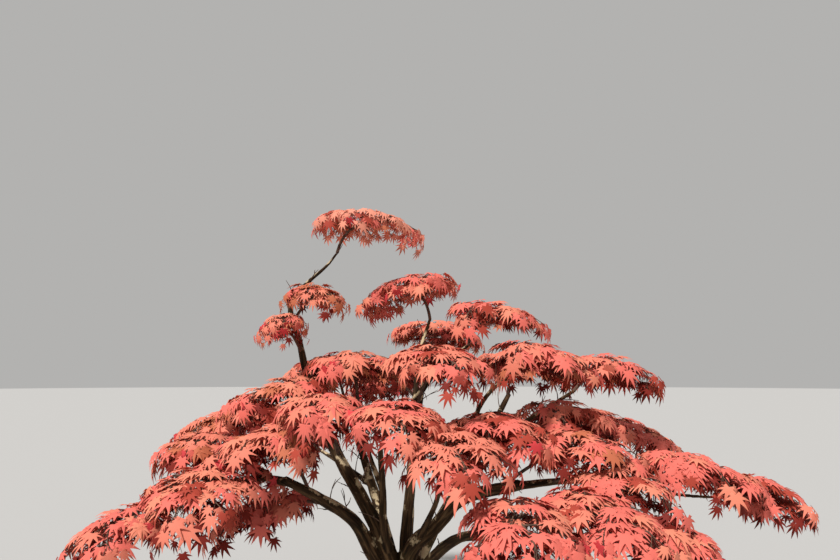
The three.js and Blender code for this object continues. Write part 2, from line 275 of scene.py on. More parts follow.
# The tints of the leaves, each with the record's slot it belongs to
tints = {
    "coral": {"color": (0.68, 0.19, 0.125), "slot": "leaves_coral"},
    "peach": {"color": (0.72, 0.26, 0.175), "slot": "leaves_coral"},
    "salmon": {"color": (0.69, 0.213, 0.133), "slot": "leaves_orange"},
    "pink": {"color": (0.69, 0.145, 0.11), "slot": "leaves_pink"},
    "rose": {"color": (0.62, 0.06, 0.065), "slot": "leaves_pink"},
    "amber": {"color": (0.47, 0.13, 0.065), "slot": "leaves_orange"},
    "brick": {"color": (0.36, 0.052, 0.032), "slot": "leaves_deep"},
    # This darkest tint is painted shade, given only to the sprays under the pads
    "paintedShadeWine": {"color": (0.17, 0.018, 0.012), "slot": "leaves_deep"},
}
leafSkin = {
    "roughness": 0.6, "specular": 0.1, "crinkles": (160, 3), "crinkleStrength": 0.25,
    "crinkleDepth": 0.002,
}


def leafMaterial(name):
    skin = leafSkin
    material, nodes, links, shader = newMaterial("leaf_" + name, skin["roughness"], skin["specular"])
    shader.inputs["Base Color"].default_value = (*tints[name]["color"], 1)
    crinkles = addNoise(nodes, links, objectPlace(nodes), *skin["crinkles"])
    addBump(nodes, links, shader, crinkles, skin["crinkleStrength"], skin["crinkleDepth"])
    return material


# The trunk, then each limb from a share of its parent's length through the points given, in metres
trunk = {
    "height": 0.56, "radius": 0.112, "topRadius": 0.086, "lean": 0.014, "flare": 0.062,
    "flareHeight": 0.085, "ribs": 5, "ribDepth": 0.34, "ribTurn": 0.6, "dome": 0.09,
    "rounding": 0.72, "sides": 48, "rings": 40,
}
limbRows = [
    ("bough_low_left", "trunk", 0.8, 0.046, 0.021,
     [(-0.15, -0.02, 0.713), (-0.235, -0.08, 0.875), (-0.4, -0.19, 1.01), (-0.56, -0.25, 1.105)]),
    ("leader_lower", "trunk", 0.84, 0.046, 0.025,
     [(-0.072, 0, 0.713), (-0.21, 0, 0.98), (-0.325, 0.02, 1.165), (-0.5, 0.06, 1.5)]),
    ("bough_right", "trunk", 0.86, 0.047, 0.026,
     [(0.048, -0.06, 0.742), (0.165, -0.09, 0.855), (0.29, -0.175, 1), (0.56, -0.3, 1.09)]),
    ("bough_middle", "trunk", 0.9, 0.033, 0.02,
     [(0.014, 0.03, 0.745), (0.042, 0.05, 1.06), (0.06, 0, 1.48)]),
    ("bough_front_low", "trunk", 0.78, 0.036, 0.016,
     [(0.125, -0.09, 0.67), (0.24, -0.32, 0.84), (0.42, -0.7, 0.98)]),
    ("bough_back_left", "trunk", 0.8, 0.038, 0.016,
     [(-0.07, 0.13, 0.7), (-0.25, 0.48, 1.15), (-0.4, 0.75, 1.47)]),
    ("bough_back_middle", "trunk", 0.84, 0.038, 0.015,
     [(0.02, 0.15, 0.74), (0.06, 0.6, 1.23), (0.13, 0.95, 1.65)]),
    ("bough_back_right", "trunk", 0.8, 0.038, 0.016,
     [(0.11, 0.13, 0.69), (0.43, 0.52, 1.13), (0.66, 0.78, 1.48)]),
    ("bough_front_middle", "leader_lower", 0.2, 0.025, 0.014,
     [(-0.09, -0.08, 0.85), (-0.095, -0.12, 1.02), (-0.095, -0.34, 1.26)]),
    ("bough_left_middle", "bough_front_middle", 0.55, 0.015, 0.01,
     [(-0.17, -0.06, 1.21), (-0.24, 0.03, 1.47)]),
    ("bough_low_left_outer", "bough_low_left", 0.97, 0.019, 0.008,
     [(-0.68, -0.23, 1.11), (-0.98, -0.235, 1.04), (-1.13, -0.27, 0.975)]),
    ("leader_middle", "leader_lower", 0.98, 0.022, 0.015,
     [(-0.57, 0.1, 1.79), (-0.628, 0.14, 1.96), (-0.605, 0.165, 2.055)]),
    ("leader_top", "leader_middle", 0.98, 0.0135, 0.008,
     [(-0.53, 0.18, 2.128), (-0.44, 0.19, 2.212), (-0.378, 0.2, 2.295)]),
    ("bough_middle_back", "bough_middle", 0.94, 0.017, 0.01, [(0.095, 0.17, 1.74), (0.15, 0.285, 1.925)]),
    ("bough_middle_right", "bough_middle", 0.98, 0.016, 0.01, [(0.18, 0.01, 1.62), (0.35, 0.01, 1.76)]),
    ("bough_front_right", "bough_right", 0.34, 0.018, 0.01, [(0.17, -0.29, 1.02), (0.17, -0.52, 1.15)]),
    ("bough_right_rising", "bough_right", 0.5, 0.026, 0.018, [(0.33, -0.15, 1.11), (0.36, -0.15, 1.24)]),
    ("bough_right_upper", "bough_right_rising", 0.97, 0.016, 0.01,
     [(0.375, -0.14, 1.41), (0.46, -0.11, 1.53), (0.55, -0.1, 1.59)]),
    ("bough_right_high", "bough_right_rising", 0.8, 0.016, 0.01,
     [(0.54, -0.06, 1.31), (0.69, 0, 1.39), (0.93, 0.11, 1.52)]),
    ("bough_right_outer", "bough_right", 0.97, 0.02, 0.012, [(0.84, -0.21, 1.095), (1.15, -0.13, 1.06)]),
    ("bough_right_tip", "bough_right_outer", 0.98, 0.011, 0.008, [(1.4, -0.04, 1), (1.69, 0.06, 0.965)]),
    ("bough_front_low_right", "bough_front_low", 0.66, 0.015, 0.009,
     [(0.56, -0.62, 0.92), (0.9, -0.64, 0.895)]),
    ("bough_back_left_low", "bough_back_left", 0.5, 0.017, 0.01,
     [(-0.45, 0.6, 1.11), (-0.62, 0.8, 1.17)]),
    ("bough_back_right_low", "bough_back_right", 0.5, 0.017, 0.01,
     [(0.56, 0.65, 1.11), (0.76, 0.85, 1.16)]),
]
curveSteps = 200
pathPoints = 61


# A smooth curve through the points, in even steps of its own length
def smoothPath(points):
    points = np.array(points, float)
    points = np.vstack([2 * points[0] - points[1], points, 2 * points[-1] - points[-2]])
    spans = np.sqrt(np.linalg.norm(np.diff(points, axis=0), axis=1))
    dense = []
    for i in range(1, len(points) - 2):
        a, b, c, d = points[i - 1:i + 3]
        before, here, after = spans[i - 1:i + 2]
        leave = ((b - a) / before - (c - a) / (before + here) + (c - b) / here) * here
        arrive = ((c - b) / here - (d - b) / (here + after) + (d - c) / after) * here
        for t in np.linspace(0, 1, curveSteps, endpoint=i == len(points) - 3):
            cubic = (2 * b - 2 * c + leave + arrive) * t ** 3
            square = (3 * c - 3 * b - 2 * leave - arrive) * t ** 2
            dense.append(cubic + square + leave * t + b)
    return evenSteps(np.array(dense), pathPoints)


def evenSteps(dense, count):
    lengths = np.concatenate([[0], np.cumsum(np.linalg.norm(np.diff(dense, axis=0), axis=1))])
    wanted = np.linspace(0, lengths[-1], count)
    return np.stack([np.interp(wanted, lengths, dense[:, axis]) for axis in range(3)], 1)


def lengthOf(path):
    return np.linalg.norm(np.diff(path, axis=0), axis=1).sum()


def alongPath(path, share):
    place = share * (len(path) - 1)
    index = min(int(place), len(path) - 2)
    return mix(path[index], path[index + 1], place - index)


# The way a path runs at a share of its length, taken over a little of it
def wayAt(path, share, nearby):
    return alongPath(path, min(1, share + nearby)) - alongPath(path, max(0, share - nearby))


trunkTop = (trunk["lean"], 0, trunk["height"])
paths = {"trunk": evenSteps(np.array([(0, 0, 0), trunkTop]), pathPoints)}
radii = {}
for name, parent, share, startRadius, endRadius, points in limbRows:
    paths[name] = smoothPath([alongPath(paths[parent], share), *points])
    radii[name] = (startRadius, endRadius)


# Wood: tubes for the limbs and a ribbed foot, melted together so that each limb grows out of the last
wood = {
    "voxel": 0.0064, "collar": 0.2, "collarLength": 0.07, "tubeRounding": 4, "smoothRounds": 3,
    "smoothing": 0.5, "knobHeight": 0.004, "knobScale": 14, "ridgeDepth": 0.003,
    "ridgeScale": (42, 42, 5), "fullRelief": 0.04, "leastRelief": 0.15, "footFade": 0.02,
    "grainSide": (0.31, 0.87, 0.38), "batch": 4000,
}


def limbObject(name):
    path = paths[name]
    startRadius, endRadius = radii[name]
    length = lengthOf(path)
    data = bpy.data.curves.new(name + "_line", "CURVE")
    data.dimensions = "3D"
    data.bevel_depth = 1
    data.bevel_resolution = wood["tubeRounding"]
    data.use_fill_caps = True
    spline = data.splines.new("POLY")
    spline.points.add(len(path) - 1)
    for index, (point, place) in enumerate(zip(spline.points, path)):
        share = index / (len(path) - 1)
        swell = 1 + wood["collar"] * math.exp(-share * length / wood["collarLength"])
        point.co = (*place, 1)
        point.radius = mix(startRadius, endRadius, share) * swell
    return newObject(name + "_line", data)


def trunkRadiusAt(height, around):
    flare = trunk["flare"] * math.exp(-height / trunk["flareHeight"])
    rib = 1 + trunk["ribDepth"] * math.cos(trunk["ribs"] * around + trunk["ribTurn"])
    overDome = max(0, (height - trunk["height"] + trunk["dome"]) / trunk["dome"])
    domed = math.sqrt(1 - trunk["rounding"] * overDome ** 2)
    share = height / trunk["height"]
    return (mix(trunk["radius"], trunk["topRadius"], share) + flare * rib) * domed


def trunkMesh():
    shape = bmesh.new()
    foot = bmesh.ops.create_circle(shape, cap_ends=True, segments=trunk["sides"], radius=1)["verts"]
    ring = [e for e in shape.edges if all(v in foot for v in e.verts)]
    rings = [foot]
    for _ in range(trunk["rings"]):
        made = bmesh.ops.extrude_edge_only(shape, edges=ring)["geom"]
        rings.append([g for g in made if isinstance(g, bmesh.types.BMVert)])
        ring = [g for g in made if isinstance(g, bmesh.types.BMEdge)]
        bmesh.ops.translate(shape, verts=rings[-1], vec=(0, 0, 1))
    bmesh.ops.contextual_create(shape, geom=ring)
    for step, verts in enumerate(rings):
        height = trunk["height"] * step / trunk["rings"]
        for vert in verts:
            around = math.atan2(vert.co.y, vert.co.x)
            radius = trunkRadiusAt(height, around)
            lean = trunk["lean"] * step / trunk["rings"]
            vert.co = (lean + radius * math.cos(around), radius * math.sin(around), height)
    bmesh.ops.recalc_face_normals(shape, faces=shape.faces)
    return shape


# Each point's nearest limb gives the way its bark runs: across the limb and along it
def grainOf(points):
    samples, centres, sizes, alongs, frames = [], [], [], [], []
    start = 0.0
    for name, path in paths.items():
        tangents = unit(np.gradient(path, axis=0))
        side = unit(np.cross(tangents, wood["grainSide"]))
        shares = np.linspace(0, 1, len(path))
        if name == "trunk":
            size = mix(trunk["radius"], trunk["topRadius"], shares)
        else:
            size = mix(*radii[name], shares)
        length = lengthOf(path)
        centres.append(path)
        sizes.append(size)
        alongs.append(start + shares * length)
        frames.append(np.stack([side, np.cross(tangents, side), tangents], 1))
        start += length
    centres, sizes = np.vstack(centres), np.concatenate(sizes)
    alongs, frames = np.concatenate(alongs), np.vstack(frames)
    for chunk in np.array_split(points, max(1, len(points) // wood["batch"])):
        gaps = np.linalg.norm(chunk[:, None] - centres[None], axis=2) - sizes[None]
        nearest = gaps.argmin(1)
        local = np.einsum("nij,nj->ni", frames[nearest], chunk - centres[nearest])
        local[:, 2] += alongs[nearest]
        samples.append(local)
    return np.vstack(samples)


def evaluatedMesh(piece):
    graph = bpy.context.evaluated_depsgraph_get()
    return bpy.data.meshes.new_from_object(piece.evaluated_get(graph))


def woodPiece():
    shape = trunkMesh()
    for row in limbRows:
        line = limbObject(row[0])
        mesh = evaluatedMesh(line)
        shape.from_mesh(mesh)
        bpy.data.objects.remove(line)
        bpy.data.meshes.remove(mesh)
    rough = bpy.data.meshes.new("wood")
    shape.to_mesh(rough)
    shape.free()
    piece = newObject("wood", rough)
    melt = piece.modifiers.new("melt", "REMESH")
    melt.mode = "VOXEL"
    melt.voxel_size = wood["voxel"]
    mesh = evaluatedMesh(piece)
    piece.modifiers.clear()
    piece.data = mesh
    shape = bmesh.new()
    shape.from_mesh(mesh)
    for _ in range(wood["smoothRounds"]):
        bmesh.ops.smooth_vert(shape, verts=shape.verts, factor=wood["smoothing"],
                              use_axis_x=True, use_axis_y=True, use_axis_z=True)
    shape.to_mesh(mesh)
    shape.free()
    roughen(mesh)
    mesh.materials.append(barkMaterial())
    return piece


# Ridges along the grain and low knobs, and a flat foot
def roughen(mesh):
    count = len(mesh.vertices)
    points = np.zeros(count * 3, np.float32)
    normals = np.zeros(count * 3, np.float32)
    mesh.vertices.foreach_get("co", points)
    mesh.vertices.foreach_get("normal", normals)
    points, normals = points.reshape(-1, 3).astype(float), normals.reshape(-1, 3)
    grain = grainOf(points)
    ridged = grain * wood["ridgeScale"]
    ridge = np.array([noise.noise(Vector(v)) for v in ridged])
    knob = np.array([noise.noise(Vector(v)) for v in points * wood["knobScale"]])
    thickness = np.hypot(grain[:, 0], grain[:, 1]) / wood["fullRelief"]
    relief = wood["ridgeDepth"] * ridge + wood["knobHeight"] * knob
    depth = relief * np.clip(thickness, wood["leastRelief"], 1)
    depth *= np.clip(points[:, 2] / wood["footFade"], 0, 1)
    points = points + normals * depth[:, None]
    points[:, 2] = np.maximum(points[:, 2], 0)
    mesh.vertices.foreach_set("co", points.ravel())
    attribute = mesh.attributes.new("grain", "FLOAT_VECTOR", "POINT")
    attribute.data.foreach_set("vector", grain.astype(np.float32).ravel())
    mesh.polygons.foreach_set("use_smooth", np.ones(len(mesh.polygons), bool))
    mesh.update()


woodObject = woodPiece()
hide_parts("trunk", *[row[0] for row in limbRows])
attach(woodObject, "root")
print("bark:", len(woodObject.data.polygons), "faces")


# Leaves in four forms: seven pointed lobes, each folded along its rib and drooping to its tip
leafShape = {
    "lobes": ((98, 0.44), (66, 0.74), (33, 0.93), (0, 1.03), (-33, 0.93), (-66, 0.74), (-98, 0.44)),
    "notch": 0.43, "notchFold": 0.02, "waist": 0.65, "waistWidth": 0.075, "fold": 0.03,
    "sideFold": 0.4, "heart": 0.24, "heartTurn": 34, "droops": (0.16, 0.32, 0.44, 0.24),
    "skews": (0, 5, -6, 3), "spreads": (1.0, 0.84, 0.72, 0.92),
}


# One leaf of unit radius: its points and its triangles
def leafTemplate(droop, skew, spread):
    shape, lobes = leafShape, leafShape["lobes"]
    points, faces = [(0, 0, 0)], []

    def add(angle, reach, lift=0.0):
        turn = math.radians(angle * spread + skew * reach)
        points.append((reach * math.cos(turn), reach * math.sin(turn), lift - droop * reach ** 2))
        return len(points) - 1

    width = math.degrees(math.atan2(shape["waistWidth"], shape["waist"])) / spread
    edge = add(lobes[0][0] + shape["heartTurn"], shape["heart"])
    for index, (angle, length) in enumerate(lobes):
        waist = length * shape["waist"]
        left = add(angle + width, waist, -shape["fold"] * shape["sideFold"])
        tip = add(angle, length, -shape["fold"])
        right = add(angle - width, waist, -shape["fold"] * shape["sideFold"])
        rib = add(angle, waist, shape["fold"])
        if index < len(lobes) - 1:
            nextAngle, nextLength = lobes[index + 1]
            between = shape["notch"] * (length + nextLength) / 2
            after = add((angle + nextAngle) / 2, between, -shape["notchFold"])
        else:
            after = add(angle - shape["heartTurn"], shape["heart"])
        faces += [(0, rib, edge), (0, after, rib), (edge, rib, left), (left, rib, tip),
                  (rib, right, tip), (rib, after, right)]
        edge = after
    return np.array(points, float), np.array(faces, int)


forms = zip(leafShape["droops"], leafShape["skews"], leafShape["spreads"])
templates = [leafTemplate(*form) for form in forms]


# The masses of foliage, each on a share of its limb's length, with the middle of its sheet, its half
# length, how far its outer end falls, and the tints of its sprays from the most to the least common
massRows = [
    ("foliage_cap", "leader_top", 0.98, (-0.25, 0.2, 2.405), 0.365, 0.02, "peach peach salmon"),
    ("foliage_leader_right", "leader_middle", 0.7, (-0.475, 0.02, 2.005), 0.165, 0.025,
     "amber salmon coral"),
    ("foliage_leader_left", "leader_middle", 0.4, (-0.628, -0.04, 1.855), 0.108, 0.025,
     "salmon coral amber"),
    ("foliage_top_middle", "bough_middle_back", 0.98, (0.05, 0.31, 2.05), 0.335, 0.072,
     "pink coral salmon"),
    ("foliage_top_right", "bough_middle_right", 0.98, (0.475, 0, 1.878), 0.295, 0.04, "pink coral salmon"),
    ("foliage_upper_middle", "bough_middle", 0.88, (0.172, -0.3, 1.628), 0.304, 0.04, "coral pink salmon"),
    ("foliage_upper_right", "bough_right_upper", 0.98, (0.69, -0.11, 1.65), 0.305, 0.06,
     "coral pink salmon"),
    ("foliage_far_right_high", "bough_right_high", 0.98, (1.17, 0.2, 1.59), 0.285, 0.07,
     "pink coral brick"),
    ("foliage_upper_left", "bough_left_middle", 0.98, (-0.29, 0.1, 1.61), 0.32, 0.02, "salmon coral pink"),
    ("foliage_left_high", "leader_lower", 0.86, (-0.64, 0, 1.47), 0.3, 0.06, "salmon coral amber"),
    ("foliage_left_front", "leader_lower", 0.68, (-0.36, -0.45, 1.42), 0.25, 0.02, "salmon coral pink"),
    ("foliage_left_middle", "bough_low_left", 0.85, (-0.62, -0.28, 1.25), 0.3, 0.06, "coral salmon amber"),
    ("foliage_left_far", "bough_low_left_outer", 0.24, (-1.04, 0, 1.19), 0.29, 0.05, "coral amber brick"),
    ("foliage_front_middle", "bough_front_middle", 0.98, (-0.02, -0.65, 1.38), 0.285, 0.04,
     "coral pink salmon"),
    ("foliage_front_centre", "bough_front_right", 0.98, (0.215, -0.77, 1.26), 0.29, 0.05,
     "coral pink salmon"),
    ("foliage_front_right", "bough_right_rising", 0.6, (0.45, -0.38, 1.31), 0.3, 0.03, "coral pink brick"),
    ("foliage_right_middle", "bough_right_high", 0.45, (0.9, 0.15, 1.34), 0.325, 0.06,
     "coral pink brick"),
    ("foliage_right_lower", "bough_right", 0.9, (0.84, -0.37, 1.23), 0.3, 0.04, "coral pink amber"),
    ("foliage_right_outer", "bough_right_outer", 0.98, (1.48, -0.11, 1.08), 0.35, 0.09,
     "pink coral salmon"),
    ("foliage_right_tip", "bough_right_tip", 0.98, (1.89, 0.095, 0.955), 0.27, 0.09, "pink coral brick"),
    ("foliage_low_left", "bough_low_left_outer", 0.5, (-0.87, -0.42, 1.06), 0.35, 0.09,
     "coral salmon pink"),
    ("foliage_low_left_tip", "bough_low_left_outer", 0.98, (-1.25, -0.35, 0.895), 0.27, 0.09,
     "pink coral salmon"),
    ("foliage_hanging_left", "bough_low_left", 0.7, (-0.69, -0.02, 0.89), 0.28, 0.08, "pink coral brick"),
    ("foliage_low_front", "bough_front_low", 0.98, (0.45, -1, 1.03), 0.255, 0.05, "pink coral salmon"),
    ("foliage_low_right_front", "bough_front_low_right", 0.62, (0.79, -0.82, 1.02), 0.29, 0.06,
     "pink coral salmon"),
    ("foliage_low_right_tip", "bough_front_low_right", 0.98, (1.12, -0.62, 0.905), 0.225, 0.06,
     "pink coral salmon"),
    ("foliage_right_front", "bough_right_outer", 0.3, (0.97, -0.51, 1.09), 0.28, 0.06,
     "coral pink salmon"),
    ("foliage_back_left_high", "bough_back_left", 0.98, (-0.5, 0.85, 1.59), 0.37, 0.05,
     "coral salmon brick"),
    ("foliage_back_left", "bough_back_left_low", 0.75, (-1, 0.56, 1.29), 0.39, 0.08,
     "coral amber brick"),
    ("foliage_back_left_low", "bough_back_left_low", 0.98, (-0.79, 1.2, 1.12), 0.38, 0.09,
     "coral pink salmon"),
    ("foliage_back_top", "bough_back_middle", 0.98, (0.2, 1.08, 1.83), 0.38, 0.05, "coral salmon pink"),
    ("foliage_back_middle", "bough_back_middle", 0.8, (-0.15, 1.37, 1.52), 0.37, 0.08,
     "coral pink salmon"),
    ("foliage_back_right_high", "bough_back_right", 0.98, (0.74, 0.82, 1.61), 0.39, 0.06,
     "coral salmon amber"),
    ("foliage_back_right", "bough_back_right_low", 0.75, (1.27, 0.66, 1.23), 0.41, 0.09,
     "pink coral salmon"),
    ("foliage_back_right_low", "bough_back_right_low", 0.98, (0.6, 1.33, 1.19), 0.38, 0.09,
     "coral pink amber"),
]

# The rule of a mass: a domed sheet, a stem along its middle and a fan of twigs, as in the solids
sheetRule = {
    "breadth": 0.84, "crownRise": 0.23, "crownFall": 0.14, "rimReach": 0.66, "largeMass": 0.305,
    "stemArch": 0.12, "riseAlong": -0.2, "riseShare": 0.6, "crestAlong": 0.1, "curvePoints": 60,
    "stemPoints": 41, "largeFan": (128, 86, 44), "smallFan": (116, 56), "fanStart": 0.6,
    "fanEnd": 0.88, "lowestStart": 0.2, "startStep": 0.02, "fanStray": 18,
    "reachRange": (0.9, 1.06), "liftStray": 0.03, "innerPlace": 0.34, "innerStray": 60,
}
# The leafy surface over that sheet, which hangs over at its lobed edge, and the twigs just below it
padRule = {
    "surfaceLift": 0.03, "hangFrom": 0.6, "hangSlope": 0.14, "hangCurve": 0.5, "edge": 0.86,
    "lobes": ((3, 0.14), (5, 0.1)), "rim": (0.5, 0.95), "heights": (1.5, 2.3), "seed": 100,
    "twigReach": 1.24, "twigSink": 0.014, "twigPoints": 9, "twigRise": 1.6,
    "innerTwigs": (0, 72, -72, 144, -144), "innerReach": 0.48,
}
# Shoots in pairs along each twig, some of them dropped below the rest
shootRule = {
    "gap": 0.054, "length": 0.4, "taper": 0.5, "lengthRange": (0.75, 1.15), "shortest": 0.05,
    "shortStray": 1, "angle": (38, 62), "lift": (-0.045, 0.014), "points": 4, "rise": 2.2,
    "stemFrom": 0.1, "twigFrom": 0.3, "innerFrom": 0.16, "nearby": 0.04, "underShares": (0.52, 0.1),
    "underWithin": 0.82, "underDrop": (0.045, 0.095), "highDrop": 0.5, "crownShoots": 4,
    "crownLift": 0.02,
}
# Leaves in pairs along each shoot, flat on the pad, pitched down at its rim, some of them hanging
leafRule = {
    "pairGap": 0.058, "firstPair": 0.6, "tipRoom": 0.2, "pairAngle": (40, 66), "pairSize": (0.84, 1),
    "tipStray": 0.4, "tipSize": 1.08, "stalk": (0.012, 0.024), "stalkRise": 0.5, "slopeShare": 0.9,
    "radius": (0.064, 0.09), "underRadius": (0.052, 0.072), "scale": (1.0, 0.76), "smallMass": 0.22,
    "flatPitch": 5, "rimPitch": (34, 48), "pitchStray": 18, "rollStray": 24, "underPitch": 22,
    "hangerRim": 0.6, "hangerShare": 0.14, "hangerPitch": 34, "hangerRose": 0.5,
}
# Shares of the tints; the under sprays take dark tints as painted shade beneath the pads, with one share
# for the low masses and one for the highest
tintRule = {"paintedShadeWine": (0.7, 0.0), "lit": (1.2, 0.4), "rimPink": 0.3, "limits": (0.5, 0.78, 0.93)}


# One mass: its stem, the sheet it spreads over and its fan of twigs
class Mass:
    def __init__(self, row, seed):
        _, limb, share, centre, self.halfLength, self.fall, tintWords = row
        self.tintNames = tintWords.split()
        self.random = seeded(seed)
        self.detail = np.random.default_rng(seed + padRule["seed"])
        self.lobeTurns = self.detail.random(len(padRule["lobes"])) * 2 * math.pi
        self.foot = alongPath(paths[limb], share)
        self.middle = np.array(centre, float)
        self.heading = unit((self.middle - self.foot) * flat)
        self.across = np.cross(up, self.heading)
        self.halfWidth = self.halfLength * sheetRule["breadth"]
        self.loft = progress(self.middle[2], *padRule["heights"])
        self.leafScale = mix(*leafRule["scale"], self.loft)
        self.leafScale *= math.sqrt(min(1, self.halfLength / leafRule["smallMass"]))
        self.layOut()

    def sheet(self, along, side, lift=0.0):
        dome = sheetRule["crownRise"] - sheetRule["crownFall"] * (along ** 2 + side ** 2)
        height = dome * self.halfLength - self.fall * along
        return (self.middle + self.heading * along * self.halfLength
                + self.across * side * self.halfWidth + up * (height + lift))

    def layOut(self):
        rule = sheetRule
        arch = rule["stemArch"] * self.halfLength
        rise = mix(self.foot, self.sheet(rule["riseAlong"], 0), rule["riseShare"]) + up * arch
        crest = self.sheet(rule["crestAlong"], 0, arch / 2)
        tip = self.sheet(rule["rimReach"], 0)
        t = np.linspace(0, 1, rule["curvePoints"])[:, None]
        curve = ((1 - t) ** 3 * self.foot + 3 * (1 - t) ** 2 * t * rise
                 + 3 * (1 - t) * t ** 2 * crest + t ** 3 * tip)
        self.stem = evenSteps(curve, rule["stemPoints"])
        first = rule["lowestStart"]
        limit = -rule["fanStart"] * self.halfLength
        while (alongPath(self.stem, first) - self.middle) @ self.heading < limit:
            first += rule["startStep"]
        self.first = first
        fan = rule["largeFan"] if self.halfLength > rule["largeMass"] else rule["smallFan"]
        self.twigs = []
        for around in fan:
            for hand in (-1, 1):
                angle = math.radians(hand * (around + stray(self.random, rule["fanStray"])))
                reach = rule["rimReach"] * mix(*rule["reachRange"], self.random())
                forward = (1 + math.cos(angle)) / 2
                start = alongPath(self.stem, mix(first, rule["fanEnd"], forward))
                lift = stray(self.random, rule["liftStray"])
                self.random()  # the size of the solid's leaf
                self.random()  # and its turn
                self.twigs.append((start, angle, reach, lift))
        self.inner = alongPath(self.stem, mix(first, 1, rule["innerPlace"]))
        self.innerTurn = math.radians(stray(self.random, rule["innerStray"]))

    # Where a point lies on the sheet, as shares of the half length and the half width
    def shares(self, point):
        away = point - self.middle
        return away @ self.heading / self.halfLength, away @ self.across / self.halfWidth

    # A point of the leafy surface, which hangs over beyond the rim of the twigs
    def surface(self, along, side):
        over = max(0, math.hypot(along, side) - padRule["hangFrom"])
        hang = (padRule["hangSlope"] * over + padRule["hangCurve"] * over ** 2) * self.halfLength
        return self.sheet(along, side, padRule["surfaceLift"] - hang)

    # How steeply that surface falls at a point, and which way
    def slope(self, along, side):
        out = math.hypot(along, side)
        over = max(0, out - padRule["hangFrom"])
        steep = 2 * sheetRule["crownFall"] * out
        if over > 0:
            steep += padRule["hangSlope"] + 2 * padRule["hangCurve"] * over
        outward = self.heading * along + self.across * side
        return steep, unit(outward) if out > 0 else self.heading

    # How far the twigs reach one way: the outline is lobed
    def edgeTowards(self, along, side):
        around = math.atan2(side, along)
        edge = padRule["edge"]
        for (count, depth), turn in zip(padRule["lobes"], self.lobeTurns):
            edge += depth * math.cos(count * around + turn)
        return edge

    # How far out a place is: 0 on the flat of the pad, 1 at its rim
    def rimShare(self, place):
        return progress(math.hypot(*self.shares(place)), *padRule["rim"])


# What the masses grow: lines for their stems, twigs, shoots and leaf stalks, and leaves by tint
stems, axes, shoots, stalks = [], [], [], []
leaves = {name: [] for name in tints}


# Under sprays take darker tints as painted shade: the darkest wine and brick under the low masses, amber
# or the mass's own second tint under the high ones
def pickTint(mass, under, rim):
    draw = mass.detail.random()
    if under:
        if draw < mix(*tintRule["paintedShadeWine"], mass.loft):
            return "paintedShadeWine"
        if draw > mix(*tintRule["lit"], mass.loft):
            return mass.tintNames[1]
        return "amber" if draw > 1 - mass.loft else "brick"
    if mass.detail.random() < rim * tintRule["rimPink"]:
        return "pink"
    for name, limit in zip(mass.tintNames, tintRule["limits"]):
        if draw < limit:
            return name
    return "brick"


def addLeaf(mass, node, direction, tint, size, under):
    rule, draw = leafRule, mass.detail
    rim = mass.rimShare(node)
    steep, outward = mass.slope(*mass.shares(node))
    slopeHere = -steep * (outward @ direction)
    pitch = mix(rule["flatPitch"], mix(*rule["rimPitch"], mass.loft), rim)
    pitch += stray(draw.random, rule["pitchStray"])
    if under:
        pitch += rule["underPitch"] * draw.random()
    elif rim > rule["hangerRim"] and draw.random() < rule["hangerShare"]:
        pitch += rule["hangerPitch"]
        tint = "rose" if draw.random() < rule["hangerRose"] else tint
    radius = mix(*rule["underRadius" if under else "radius"], draw.random()) * size
    radius *= mass.leafScale
    stalkWay = unit(direction + up * (slopeHere + rule["stalkRise"]))
    base = node + stalkWay * mix(*rule["stalk"], draw.random())
    forward = unit(direction + up * slopeHere * rule["slopeShare"])
    level = unit(up + outward * steep)
    level = unit(level - forward * (level @ forward))
    forward, level = tipped(forward, level, pitch)
    across = np.cross(level, forward)
    across, level = tipped(across, level, stray(draw.random, rule["rollStray"]))
    stalks.append((node, base))
    form = int(draw.integers(0, len(templates)))
    leaves[tint].append((base, (forward, across, level), radius, form))


# A shoot over the surface from one place towards another, with pairs of leaves and one at its end
def addShoot(mass, start, direction, length, lift, under):
    rule, leafy, draw = shootRule, leafRule, mass.detail
    along, side = mass.shares(start + direction * length)
    beyond = math.hypot(along, side) - mass.edgeTowards(along, side)
    if beyond > 0:
        length -= beyond * mass.halfLength
    if length < rule["shortest"]:
        length = rule["shortest"]
        direction = turned(direction, stray(draw.random, rule["shortStray"]))
    points = []
    for share in np.linspace(0, 1, rule["points"]):
        place = start + direction * length * share
        level = mass.surface(*mass.shares(place))[2] + lift - padRule["twigSink"]
        points.append((place[0], place[1], mix(start[2], level, min(1, share * rule["rise"]))))
    points = np.array(points)
    shoots.append(points)
    tint = pickTint(mass, under, mass.rimShare(points[-1]))
    pairs = max(1, round(length / leafy["pairGap"]))
    for pair in range(pairs):
        node = alongPath(points, (pair + leafy["firstPair"]) / (pairs + leafy["tipRoom"]))
        for hand in (-1, 1):
            angle = hand * math.radians(mix(*leafy["pairAngle"], draw.random()))
            size = mix(*leafy["pairSize"], draw.random())
            addLeaf(mass, node, turned(direction, angle), tint, size, under)
    tipWay = turned(direction, stray(draw.random, leafy["tipStray"]))
    addLeaf(mass, points[-1], tipWay, tint, leafy["tipSize"], under)


